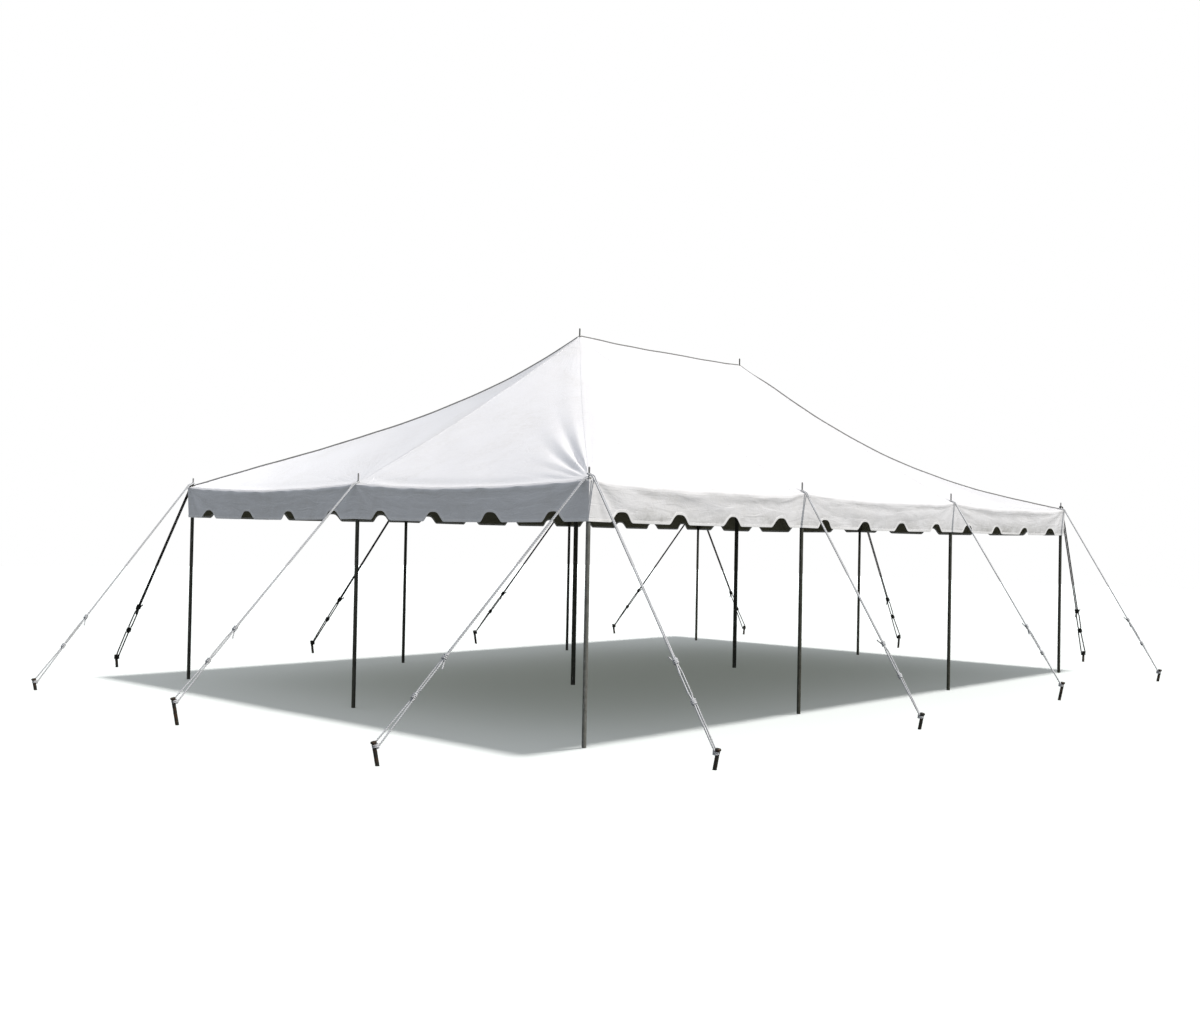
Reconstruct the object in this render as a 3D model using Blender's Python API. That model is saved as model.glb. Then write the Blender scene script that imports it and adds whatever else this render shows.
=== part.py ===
"""Push-pole marquee, 20 x 30 ft: a white canopy with two peaks, held up by poles and down by guy ropes.

Metres, +Z up, ground at z = 0. +X runs along the long side and the front faces -Y.
"""

import math

import bmesh
import bpy
from mathutils import Matrix, Vector

# Driving dimensions of the plan: bays of 10 ft, three along and two across
BAY = 3.048
BAYS_ALONG = 3
BAYS_ACROSS = 2
POLE_X = BAY * BAYS_ALONG / 2
POLE_Y = BAY * BAYS_ACROSS / 2
PEAK_X = BAY / 2

# Canopy: heights are of its upper face
EAVE_OVERHANG = 0.04
EAVE_HEIGHT = 2.146
PEAK_HEIGHT = 3.962
LONG_EAVE_SAG = 0.025
END_EAVE_SAG = 0.05
RIDGE_SAG = 0.02
CLOTH = 0.004
HALF_LENGTH = POLE_X + EAVE_OVERHANG
HALF_WIDTH = POLE_Y + EAVE_OVERHANG
ROWS = 12
COLUMN = BAY / 8

# Valance below the eave, with bell-shaped notches between its tabs
VALANCE_DEPTH = 0.33
HEM_SAG_SHARE = 0.35
TAB_PITCH = BAY / 4
NOTCH_HEIGHT = 0.088
NOTCH_HALF_WIDTH = 0.14
NOTCH_SQUARENESS = 1.35
NOTCH_STEPS = 5

# Poles: steel tube with a reduced top pin that stands through the canopy
SIDE_POLE_RADIUS = 0.019
CENTRE_POLE_RADIUS = 0.0254
PIN_RADIUS = 0.008
PIN_ABOVE_CLOTH = 0.092
PIN_TIP = 0.006
HOLE_CLEARANCE = 0.0004
SHOULDER_ROOM = 0.0020
POLE_SIDES = 16

# Guy ropes, doubled from the pin to the stake, and the stakes that hold them
ROPE_RADIUS = 0.0063
LOOP_STEPS = 4
LOOP_ABOVE_CLOTH = 0.0093
SECOND_LOOP_RISE = 0.025
EDGE_CLEARANCE = 0.0078
PAST_EDGE = 0.005
STAKE_RADIUS = 0.016
STAKE_HEAD_RADIUS = 0.023
STAKE_HEAD = 0.014
STAKE_LEAN = math.radians(11)
LOOP_BELOW_HEAD = 0.036
STAKE_SIDES = 14

# Room left between pieces that touch
GAP = 0.0003

# Poles of the eave, each by its bay line along and across, counted from the middle
EAVE_POLES = {
    "front_left": (-1.5, -1),
    "front_2": (-0.5, -1),
    "front_3": (0.5, -1),
    "front_right": (1.5, -1),
    "right_middle": (1.5, 0),
    "back_right": (1.5, 1),
    "back_3": (0.5, 1),
    "back_2": (-0.5, 1),
    "back_left": (-1.5, 1),
    "left_middle": (-1.5, 0),
}
CENTRE_POLES = {"left": (-0.5, 0), "right": (0.5, 0)}

# Guy ropes: the pole, where its stake stands from that pole (x, y), and how far the stake stands out
GUYS = {
    "front_left_end": ("front_left", (-1.72, 0.44), 0.18),
    "front_left_side": ("front_left", (0.02, -1.30), 0.16),
    "front_2": ("front_2", (0.01, -1.30), 0.15),
    "front_3": ("front_3", (0.13, -1.25), 0.20),
    "front_right_side": ("front_right", (0.01, -1.27), 0.15),
    "front_right_end": ("front_right", (1.84, 0.42), 0.15),
    "right_middle": ("right_middle", (1.62, 0.25), 0.20),
    "back_right_end": ("back_right", (1.72, 0.30), 0.15),
    "back_right_side": ("back_right", (-0.06, 1.75), 0.16),
    "back_3": ("back_3", (-0.35, 1.60), 0.20),
    "back_2": ("back_2", (-0.17, 1.75), 0.17),
    "back_left_side": ("back_left", (-0.02, 1.62), 0.15),
    "back_left_end": ("back_left", (-1.69, 0.06), 0.12),
    "left_middle": ("left_middle", (-1.81, 0.06), 0.24),
}


def clear_scene():
    for obj in list(bpy.data.objects):
        bpy.data.objects.remove(obj, do_unlink=True)


def material(name, colour, roughness, metallic=0.0):
    made = bpy.data.materials.new(name)
    made.use_nodes = True
    shader = made.node_tree.nodes["Principled BSDF"]
    shader.inputs["Base Color"].default_value = (*colour, 1.0)
    shader.inputs["Roughness"].default_value = roughness
    shader.inputs["Metallic"].default_value = metallic
    return made


def place(name, data, surface, parent, location=(0.0, 0.0, 0.0)):
    """A named object holding this mesh or curve, in this material."""
    obj = bpy.data.objects.new(name, data)
    data.materials.append(surface)
    obj.location = location
    obj.parent = parent
    bpy.context.scene.collection.objects.link(obj)
    return obj


def mesh_from(name, bm):
    bmesh.ops.recalc_face_normals(bm, faces=bm.faces[:])
    mesh = bpy.data.meshes.new(name)
    bm.to_mesh(mesh)
    bm.free()
    return mesh


def turned(name, profile, sides):
    """A solid of revolution about Z from (radius, height) pairs, bottom to top, closed at both ends."""
    bm = bmesh.new()
    rings = []
    for radius, height in profile:
        ring = []
        for step in range(sides):
            angle = 2 * math.pi * step / sides
            ring.append(bm.verts.new((radius * math.cos(angle), radius * math.sin(angle), height)))
        rings.append(ring)
    for low, high in zip(rings, rings[1:]):
        for step in range(sides):
            after = (step + 1) % sides
            bm.faces.new((low[step], low[after], high[after], high[step]))
    bm.faces.new(reversed(rings[0]))
    bm.faces.new(rings[-1])
    mesh = mesh_from(name, bm)
    mesh.shade_smooth()
    mesh.set_sharp_from_angle(angle=math.radians(35))
    return mesh


# Form of the canopy


def bow(share):
    """A dip that is 0 at both ends of a stretch and 1 in its middle."""
    return 4.0 * share * (1.0 - share)


def rib_rise(level):
    """Share of the way from eave to peak along a rib to a middle pole: it hangs almost straight."""
    return 0.9 * level + 0.1 * level**2


def hip_rise(level, x):
    """The same along a hip, which is longer and hangs lower, most of all at the right peak."""
    if x < 0.0:
        return 0.74 * level + 0.26 * level**4
    return 0.42 * level + 0.58 * level**2.6


def canopy_height(x, y):
    """Height of the upper face over a point of the plan: ribs and hips run from each peak to its side poles."""
    long_level = 1.0 - abs(y) / HALF_WIDTH
    end_level = (HALF_LENGTH - abs(x)) / (HALF_LENGTH - PEAK_X)
    level = max(min(long_level, end_level), 0.0)
    if abs(x) <= PEAK_X:
        level = max(long_level, 0.0)
        dip = LONG_EAVE_SAG * (1.0 - level) + RIDGE_SAG * level
        share = (x + PEAK_X) / (2 * PEAK_X)
        lift = rib_rise(level)
    else:
        if long_level <= end_level:
            dip = LONG_EAVE_SAG * (1.0 - level) ** 2
            share = (abs(x) - PEAK_X) / max((HALF_LENGTH - PEAK_X) * (1.0 - level), GAP)
        else:
            dip = END_EAVE_SAG * (1.0 - level) ** 2
            share = abs(y) / max(HALF_WIDTH * (1.0 - level), GAP)
        share = min(max(share, 0.0), 1.0)
        lift = rib_rise(level) + (hip_rise(level, x) - rib_rise(level)) * share
    return EAVE_HEIGHT + (PEAK_HEIGHT - EAVE_HEIGHT) * lift - dip * bow(share)


def cut_along(bm, axis, position):
    point = Vector((0.0, 0.0, 0.0))
    point[axis] = position
    normal = Vector((0.0, 0.0, 0.0))
    normal[axis] = 1.0
    geometry = bm.verts[:] + bm.edges[:] + bm.faces[:]
    bmesh.ops.bisect_plane(bm, geom=geometry, dist=1e-6, plane_co=point, plane_no=normal)


def canopy_panel(name, outline, row_axis):
    """One slope of the canopy: its plan is cut into rows and columns, raised, and given its thickness."""
    bm = bmesh.new()
    bm.faces.new([bm.verts.new((x, y, 0.0)) for x, y in outline])
    reach = (HALF_LENGTH, HALF_WIDTH)[row_axis]
    rise_run = HALF_WIDTH if row_axis == 1 else HALF_LENGTH - PEAK_X
    for row in range(1, ROWS):
        for side in (-1, 1):
            cut_along(bm, row_axis, side * (reach - rise_run * row / ROWS))
    columns = round((POLE_X, POLE_Y)[1 - row_axis] / COLUMN)
    for column in range(-columns, columns + 1):
        cut_along(bm, 1 - row_axis, column * COLUMN)
    bmesh.ops.triangulate(bm, faces=bm.faces[:])
    under = bmesh.ops.extrude_face_region(bm, geom=bm.faces[:])["geom"]
    lower = {item for item in under if isinstance(item, bmesh.types.BMVert)}
    for vert in bm.verts:
        height = canopy_height(vert.co.x, vert.co.y)
        vert.co.z = height - (CLOTH if vert in lower else 0.0)
    return mesh_from(name, bm)


def panel_outlines():
    """Plans of the four slopes, drawn half a gap back from each hip and from the ridge."""
    half = GAP / 2
    along = half * math.sqrt(2)
    ridge_end = PEAK_X + half - along
    front = [
        (-HALF_LENGTH + along, -HALF_WIDTH),
        (HALF_LENGTH - along, -HALF_WIDTH),
        (ridge_end, -half),
        (-ridge_end, -half),
    ]
    left = [
        (-HALF_LENGTH, -HALF_WIDTH + along),
        (-PEAK_X - along, 0.0),
        (-HALF_LENGTH, HALF_WIDTH - along),
    ]
    return {
        "roof_front_slope": (front, 1),
        "roof_back_slope": ([(x, -y) for x, y in front], 1),
        "roof_left_end": (left, 0),
        "roof_right_end": ([(-x, y) for x, y in left], 0),
    }


def notch(distance):
    """Height of a valance notch at a distance from its middle: a round top that flares into the hem."""
    share = min(abs(distance) / NOTCH_HALF_WIDTH, 1.0)
    return NOTCH_HEIGHT * 0.5 * (1.0 + math.cos(math.pi * share**NOTCH_SQUARENESS))


def valance_stations(half_poles, half_run):
    """(place, notch height) along a side, from its middle outwards both ways, at tabs and notches."""
    stations = {-half_run: 0.0, half_run: 0.0}
    tabs = round(2 * half_poles / TAB_PITCH)
    for tab in range(tabs + 1):
        stations[-half_poles + tab * TAB_PITCH] = 0.0
    for tab in range(tabs):
        middle = -half_poles + (tab + 0.5) * TAB_PITCH
        for step in range(-NOTCH_STEPS, NOTCH_STEPS + 1):
            offset = NOTCH_HALF_WIDTH * step / NOTCH_STEPS
            stations[middle + offset] = notch(offset)
    return sorted(stations.items())


def valance(name, half_poles, half_run, outer, row_axis):
    """A strip of cloth that hangs under the canopy's edge along one side."""
    bm = bmesh.new()
    side = math.copysign(1.0, outer)
    inner = outer - side * CLOTH
    columns = []
    for run, lift in valance_stations(half_poles, half_run):
        edge = (run, outer) if row_axis == 1 else (outer, run)
        top = canopy_height(*edge) - CLOTH - GAP
        hem = EAVE_HEIGHT - VALANCE_DEPTH - HEM_SAG_SHARE * (EAVE_HEIGHT - canopy_height(*edge)) + lift
        corners = []
        for across, height in ((outer, top), (inner, top), (inner, hem), (outer, hem)):
            plan = (run, across) if row_axis == 1 else (across, run)
            corners.append(bm.verts.new((*plan, height)))
        columns.append(corners)
    for near, far in zip(columns, columns[1:]):
        for corner in range(4):
            after = (corner + 1) % 4
            bm.faces.new((near[corner], far[corner], far[after], near[after]))
    bm.faces.new(columns[0])
    bm.faces.new(reversed(columns[-1]))
    return mesh_from(name, bm)


# Poles, guy ropes and stakes


def pole_profile(x, y, radius):
    """A tube whose shoulder meets the underside of the canopy, then the pin up through it."""
    around = [
        canopy_height(x + radius * math.cos(angle), y + radius * math.sin(angle))
        for angle in (2 * math.pi * step / POLE_SIDES for step in range(POLE_SIDES))
    ]
    shoulder = min(around) - CLOTH - SHOULDER_ROOM
    neck = shoulder + 0.5 * (radius - PIN_RADIUS)
    top = canopy_height(x, y) + PIN_ABOVE_CLOTH
    return [
        (radius, 0.0),
        (radius, shoulder),
        (PIN_RADIUS, neck),
        (PIN_RADIUS, top - PIN_TIP),
        (PIN_RADIUS - PIN_TIP / 2, top),
    ]


def pin_cutters(places):
    """The round holes that the pins need in the canopy, as one set of upright cylinders."""
    bm = bmesh.new()
    for x, y in places:
        height = canopy_height(x, y)
        bmesh.ops.create_cone(
            bm,
            cap_ends=True,
            segments=POLE_SIDES,
            radius1=PIN_RADIUS + HOLE_CLEARANCE,
            radius2=PIN_RADIUS + HOLE_CLEARANCE,
            depth=0.12,
            matrix=Matrix.Translation((x, y, height)),
        )
    return mesh_from("pin_holes", bm)


def half_loop(centre, away, across, radius, slope_share):
    """Points of a rope's bend round a post: the far half of a circle, stretched where it slopes."""
    reach = radius / math.cos(math.pi / (2 * LOOP_STEPS))
    points = []
    for step in range(LOOP_STEPS + 1):
        angle = math.pi * (step / LOOP_STEPS - 0.5)
        forward = away * (reach / slope_share * math.cos(angle))
        points.append(centre + forward + across * (reach * math.sin(angle)))
    return points


def stake_axis(out):
    """Direction of a stake: it leans away from the tent, in line with its rope."""
    return (out * math.sin(STAKE_LEAN) + Vector((0.0, 0.0, 1.0)) * math.cos(STAKE_LEAN)).normalized()


def guy_points(pole, reach, exposed, second):
    """The closed route of a doubled rope: round the pin, over the eave, round the stake and back."""
    foot = Vector((pole[0] + reach[0], pole[1] + reach[1], 0.0))
    out = Vector((reach[0], reach[1], 0.0)).normalized()
    across = Vector((-out.y, out.x, 0.0))
    lift = SECOND_LOOP_RISE if second else 0.0
    at_pin = Vector((*pole, canopy_height(*pole) + LOOP_ABOVE_CLOTH + lift))
    edge_run = EAVE_OVERHANG / max(abs(out.x), abs(out.y)) + PAST_EDGE
    over_edge = Vector((*pole, EAVE_HEIGHT + EDGE_CLEARANCE + lift)) + out * edge_run
    axis = stake_axis(out)
    at_stake = foot + axis * ((exposed - LOOP_BELOW_HEAD) / axis.z)
    top_run = (over_edge - at_pin).normalized()
    long_run = (at_stake - over_edge).normalized()
    pin_radius = PIN_RADIUS + ROPE_RADIUS + GAP
    stake_radius = STAKE_RADIUS + ROPE_RADIUS + GAP
    top_share = Vector((top_run.x, top_run.y)).length
    stake_share = long_run.cross(axis).length
    upper = half_loop(at_pin, -top_run, across, pin_radius, top_share)
    lower = half_loop(at_stake, long_run, -across, stake_radius, stake_share)
    edge = across * pin_radius
    return [*upper, over_edge + edge, *lower, over_edge - edge]


def rope(name, points):
    data = bpy.data.curves.new(name, "CURVE")
    data.dimensions = "3D"
    data.bevel_depth = ROPE_RADIUS
    data.bevel_resolution = 2
    spline = data.splines.new("POLY")
    spline.points.add(len(points) - 1)
    for point, place_on_route in zip(spline.points, points):
        point.co = (*place_on_route, 1.0)
    spline.use_cyclic_u = True
    return data


def stake(name, reach, exposed):
    """A round steel stake with a wider head, cut off level with the ground."""
    out = Vector((reach[0], reach[1], 0.0)).normalized()
    axis = stake_axis(out)
    length = exposed / axis.z
    buried = 0.05
    profile = [
        (STAKE_RADIUS, -buried),
        (STAKE_RADIUS, length - STAKE_HEAD - 0.004),
        (STAKE_HEAD_RADIUS, length - STAKE_HEAD),
        (STAKE_HEAD_RADIUS, length - 0.003),
        (STAKE_HEAD_RADIUS - 0.003, length),
    ]
    mesh = turned(name, profile, STAKE_SIDES)
    bm = bmesh.new()
    bm.from_mesh(mesh)
    turn = Vector((0.0, 0.0, 1.0)).rotation_difference(axis).to_matrix().to_4x4()
    bmesh.ops.transform(bm, matrix=turn, verts=bm.verts[:])
    geometry = bm.verts[:] + bm.edges[:] + bm.faces[:]
    ground = Vector((0.0, 0.0, 1.0))
    cut = bmesh.ops.bisect_plane(
        bm, geom=geometry, dist=1e-6, plane_co=(0.0, 0.0, 0.0), plane_no=ground, clear_inner=True
    )
    rim = [item for item in cut["geom_cut"] if isinstance(item, bmesh.types.BMEdge)]
    bmesh.ops.edgenet_fill(bm, edges=rim)
    bmesh.ops.recalc_face_normals(bm, faces=bm.faces[:])
    bm.to_mesh(mesh)
    bm.free()
    return mesh


def plan_of(bay_lines):
    return (bay_lines[0] * BAY, bay_lines[1] * BAY)


def middle_of(feet):
    """Middle of the ground that the stakes stand on, measured to their outermost heads."""
    spread = []
    for foot, out, exposed in feet:
        head = foot + out * (exposed * math.tan(STAKE_LEAN))
        spread.append(head + Vector((STAKE_HEAD_RADIUS, STAKE_HEAD_RADIUS, 0.0)))
        spread.append(head - Vector((STAKE_HEAD_RADIUS, STAKE_HEAD_RADIUS, 0.0)))
    across = [min(p.x for p in spread) + max(p.x for p in spread)]
    across.append(min(p.y for p in spread) + max(p.y for p in spread))
    return Vector((across[0] / 2, across[1] / 2, 0.0))


def build():
    clear_scene()
    vinyl = material("white_vinyl", (0.86, 0.86, 0.88), 0.45)
    steel = material("pole_steel", (0.14, 0.14, 0.12), 0.45, 0.6)
    cord = material("guy_rope", (0.82, 0.81, 0.78), 0.8)
    iron = material("stake_steel", (0.08, 0.08, 0.075), 0.55, 0.6)

    marquee = bpy.data.objects.new("marquee", None)
    bpy.context.scene.collection.objects.link(marquee)

    eave_plan = {name: plan_of(lines) for name, lines in EAVE_POLES.items()}
    centre_plan = {name: plan_of(lines) for name, lines in CENTRE_POLES.items()}

    cutters = pin_cutters([*eave_plan.values(), *centre_plan.values()])
    holes = place("pin_holes", cutters, steel, marquee)
    holes.hide_render = True
    holes.display_type = "WIRE"

    for name, (outline, row_axis) in panel_outlines().items():
        panel = place(name, canopy_panel(name, outline, row_axis), vinyl, marquee)
        pierced = panel.modifiers.new("pin_holes", "BOOLEAN")
        pierced.operation = "DIFFERENCE"
        pierced.solver = "EXACT"
        pierced.object = holes

    end_run = HALF_WIDTH - CLOTH - GAP
    for name, outer in (("valance_front", -HALF_WIDTH), ("valance_back", HALF_WIDTH)):
        place(name, valance(name, POLE_X, HALF_LENGTH, outer, 1), vinyl, marquee)
    for name, outer in (("valance_left", -HALF_LENGTH), ("valance_right", HALF_LENGTH)):
        place(name, valance(name, POLE_Y, end_run, outer, 0), vinyl, marquee)

    for name, (x, y) in eave_plan.items():
        label = f"side_pole_{name}"
        profile = pole_profile(x, y, SIDE_POLE_RADIUS)
        place(label, turned(label, profile, POLE_SIDES), steel, marquee, (x, y, 0.0))
    for name, (x, y) in centre_plan.items():
        label = f"centre_pole_{name}"
        profile = pole_profile(x, y, CENTRE_POLE_RADIUS)
        place(label, turned(label, profile, POLE_SIDES), steel, marquee, (x, y, 0.0))

    feet = []
    roped = set()
    for name, (pole, reach, exposed) in GUYS.items():
        x, y = eave_plan[pole]
        points = guy_points((x, y), reach, exposed, pole in roped)
        roped.add(pole)
        place(f"guy_{name}", rope(f"guy_{name}", points), cord, marquee)
        foot = Vector((x + reach[0], y + reach[1], 0.0))
        place(f"stake_{name}", stake(f"stake_{name}", reach, exposed), iron, marquee, foot)
        feet.append((foot, Vector((reach[0], reach[1], 0.0)).normalized(), exposed))

    marquee.location = -middle_of(feet)


build()
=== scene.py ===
"""A push-pole marquee, 20 x 30 ft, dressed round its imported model.

Metres, +Z up. Plan positions are kept from the middle of the tent: x along its long side, y across it.
"""

import math
import random

import bpy
import numpy as np
from mathutils import Matrix, Vector


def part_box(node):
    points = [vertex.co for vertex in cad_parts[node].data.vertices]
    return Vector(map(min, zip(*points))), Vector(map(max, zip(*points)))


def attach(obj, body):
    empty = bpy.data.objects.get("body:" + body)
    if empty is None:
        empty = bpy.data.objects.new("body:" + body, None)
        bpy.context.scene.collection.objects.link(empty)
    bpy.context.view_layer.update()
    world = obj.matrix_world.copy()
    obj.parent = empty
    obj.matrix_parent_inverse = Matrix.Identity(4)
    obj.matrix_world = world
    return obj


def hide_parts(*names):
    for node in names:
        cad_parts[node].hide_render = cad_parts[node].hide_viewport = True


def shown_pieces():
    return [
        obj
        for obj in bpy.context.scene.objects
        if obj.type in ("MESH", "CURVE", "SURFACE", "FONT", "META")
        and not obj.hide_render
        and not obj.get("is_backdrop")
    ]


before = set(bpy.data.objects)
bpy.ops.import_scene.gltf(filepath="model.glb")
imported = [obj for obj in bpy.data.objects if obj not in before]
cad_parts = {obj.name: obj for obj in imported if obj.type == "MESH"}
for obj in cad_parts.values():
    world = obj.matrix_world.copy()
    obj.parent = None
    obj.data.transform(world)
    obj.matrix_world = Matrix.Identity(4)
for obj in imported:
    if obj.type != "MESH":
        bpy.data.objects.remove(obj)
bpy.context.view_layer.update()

# Camera: it stands at eye height off the near corner, level but for a touch of upward tilt and of roll.
# The lens is given for a frame 36 mm wide, which takes in the whole tent and its outer stakes.
CAMERA_PLACE = Vector((-12.148, -10.371, 1.716))
CAMERA_HEADING = math.radians(42.642)
CAMERA_TILT = math.radians(0.950)
CAMERA_ROLL = math.radians(1.102)
CAMERA_LENS_MM = 38.742
FRAME_WIDTH_MM = 36.0
CAMERA_REACH = 400.0


def in_scene(name, data):
    """A new object, put in the scene."""
    made = bpy.data.objects.new(name, data)
    bpy.context.scene.collection.objects.link(made)
    return made


camera = in_scene("photo_camera", bpy.data.cameras.new("photo_camera"))
camera.data.sensor_width = FRAME_WIDTH_MM
camera.data.lens = CAMERA_LENS_MM
camera.data.clip_end = CAMERA_REACH
camera.matrix_world = (
    Matrix.Translation(CAMERA_PLACE)
    @ Matrix.Rotation(CAMERA_HEADING - math.pi / 2, 4, "Z")
    @ Matrix.Rotation(CAMERA_TILT + math.pi / 2, 4, "X")
    @ Matrix.Rotation(CAMERA_ROLL, 4, "Z")
)
bpy.context.scene.camera = camera


# Poles: drawn steel tube, ten round the eave and two in the middle, each with a pin turned on its top end.
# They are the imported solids, in a dull dark oxide with handling marks, and grey where the coating has worn.
EAVE_POLES = (
    "front_left", "front_2", "front_3", "front_right", "right_middle",
    "back_right", "back_3", "back_2", "back_left", "left_middle",
)
CENTRE_POLES = ("left", "right")
EAVE_PINS_FROM = 2.15
OXIDE = (0.055, 0.055, 0.041)
BARE_STEEL = (0.26, 0.26, 0.24)
ZINC = (0.15, 0.15, 0.135)
BARE_ZINC = (0.36, 0.36, 0.34)
BRIGHT_PIN = (0.27, 0.27, 0.265)


def plug(node, sockets):
    """Sets a node's sockets, or links those that are given another node's output."""
    for socket, value in sockets.items():
        if isinstance(value, bpy.types.NodeSocket):
            node.id_data.links.new(value, node.inputs[socket])
        else:
            node.inputs[socket].default_value = value


def node_maker(tree):
    """A maker of nodes in one tree, with their settings and sockets."""

    def add(kind, sockets=None, **settings):
        node = tree.nodes.new(kind)
        for key, value in settings.items():
            setattr(node, key, value)
        plug(node, sockets or {})
        return node

    return add


def new_finish(name):
    """An empty material with its shader, and a maker of nodes for it."""
    made = bpy.data.materials.new(name)
    made.use_nodes = True
    return made, made.node_tree.nodes["Principled BSDF"], node_maker(made.node_tree)


def noise(add, where, scale, detail=3.0, roughness=0.5, distortion=0.0):
    settings = {"Scale": scale, "Detail": detail, "Roughness": roughness, "Distortion": distortion}
    return add("ShaderNodeTexNoise", {"Vector": where, **settings}).outputs["Fac"]


def spread(add, value, low, high, to_low=0.0, to_high=1.0):
    """A value stretched from one range to another, and held inside it."""
    sockets = {"Value": value, "From Min": low, "From Max": high, "To Min": to_low, "To Max": to_high}
    return add("ShaderNodeMapRange", sockets).outputs["Result"]


def blend_colours(add, share, *colours):
    """A colour between two, each of them three numbers or a socket."""
    first, second = [c if isinstance(c, bpy.types.NodeSocket) else (*c, 1.0) for c in colours]
    return add("ShaderNodeMix", {0: share, 6: first, 7: second}, data_type="RGBA").outputs[2]


def bump(add, height, strength, distance, over=None):
    """Small relief, laid over another bump where one is given."""
    sockets = {"Height": height, "Strength": strength, "Distance": distance}
    if over is not None:
        sockets["Normal"] = over
    return add("ShaderNodeBump", sockets).outputs["Normal"]


def steel_finish(name, coat, worn, wear_from, grain_scale=420.0, rust=None, bright_above=None):
    """Coated steel: the coat is blotched by age, and bare metal or rust shows where it has gone."""
    made, shader, add = new_finish(name)
    where = add("ShaderNodeTexCoord").outputs["Object"]
    lengthways = add("ShaderNodeMapping", {"Vector": where, "Scale": (1.0, 1.0, 0.12)}).outputs["Vector"]
    blotches = noise(add, where, 14.0, 5.0, 0.6)
    scuffs = noise(add, lengthways, 90.0, 4.0, 0.7, 0.4)
    mottled = blend_colours(add, spread(add, blotches, 0.35, 0.7), coat, [1.7 * c for c in coat])
    bare = spread(add, scuffs, wear_from, wear_from + 0.08)
    colour = blend_colours(add, bare, mottled, worn)
    if rust:
        patches = spread(add, noise(add, where, 33.0, 6.0, 0.65), 0.48, 0.6)
        colour = blend_colours(add, patches, colour, rust)
    if bright_above:
        height = add("ShaderNodeSeparateXYZ", {"Vector": where}).outputs["Z"]
        on_pin = spread(add, height, bright_above, bright_above + 0.002)
        colour = blend_colours(add, on_pin, colour, BRIGHT_PIN)
    plug(shader, {
        "Base Color": colour,
        "Roughness": spread(add, blotches, 0.3, 0.7, 0.62, 0.4),
        "Metallic": spread(add, bare, 0.0, 1.0, 0.35, 0.8),
        "Normal": bump(add, noise(add, lengthways, grain_scale, 3.0, 0.6), 0.35, 0.0006),
    })
    return made


side_pole_steel = steel_finish("side_pole_steel", OXIDE, BARE_STEEL, 0.60, bright_above=EAVE_PINS_FROM)
centre_pole_steel = steel_finish("centre_pole_steel", OXIDE, BARE_STEEL, 0.60)
pole_zinc = steel_finish("pole_zinc", ZINC, BARE_ZINC, 0.56, bright_above=EAVE_PINS_FROM)


def coat_solid(name, finish):
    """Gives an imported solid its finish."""
    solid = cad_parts[name]
    solid.data.materials.clear()
    solid.data.materials.append(finish)


for name in EAVE_POLES:
    coat_solid(f"side_pole_{name}", pole_zinc if name == "front_left" else side_pole_steel)
for name in CENTRE_POLES:
    coat_solid(f"centre_pole_{name}", centre_pole_steel)

# Canopy: one sheet of white coated polyester, cut as four slopes and joined along hips, ridge and bay lines.
# The poles push it up and the guy ropes pull it out, so ribs hang nearly straight and hips hang hollow,
# and folds run out of every pin where the cloth takes the pull.
EAVE_OVERHANG = 0.04
EAVE_HEIGHT = 2.146
PEAK_HEIGHT = 3.962
LONG_EAVE_SAG = 0.025
END_EAVE_SAG = 0.05
RIDGE_SAG = 0.02
# Share of a line from eave to peak that curves, and the power that it curves with
RIB_HOLLOW = (0.10, 2.0)
LEFT_HIP_HOLLOW = (0.26, 4.0)
RIGHT_HIP_HOLLOW = (0.58, 2.6)
CLOTH = 0.0024
# Cells of the mesh at the eave and in the open cloth, for the near bays and the rest, and then along the ribs
NEAR_GRID = (0.0110, 0.034)
FAR_GRID = (0.028, 0.080)
RIB_GRID = 0.028
HEM_TROUGH = 0.008
NEAR_HEM_TROUGH = 0.021
HEM_TROUGH_FROM_EDGE = 0.112
HEM_TROUGH_WIDTH = 0.060
# Width over which the cloth turns down at the eave, and how far it drops there
LONG_EAVE_ROUND = (0.050, 0.022)
END_EAVE_ROUND = (0.034, 0.010)
HIP_CROWN = 0.052
HIP_CROWN_WIDTH = 0.13
HIP_CROWN_AT = 0.16
NEAR_HIP_ROUND = 0.20
HIP_SLOPE_STEP = 0.03
PIN_HOLDS = 0.22
FOLD_STARTS = 0.08
FOLD_START_BY_HEIGHT = 18.0
FOLD_SEED = 11
# Slow waves: height, turns along x and along y, and phase
WAVES = (
    (0.0022, 4.1, 2.3, 0.7), (0.0018, -2.9, 5.3, 1.9), (0.0012, 8.3, 6.1, 0.2), (0.0009, 11.7, -9.1, 2.6),
)
EAVE_WAVES = ((1.0, 12.7, -14.1, 0.0), (0.8, 31.0, 27.0, 1.0))
# How much those of the eave change the drop at an end and at a long side
EAVE_RAGGED = (0.5, 0.07)
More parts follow.
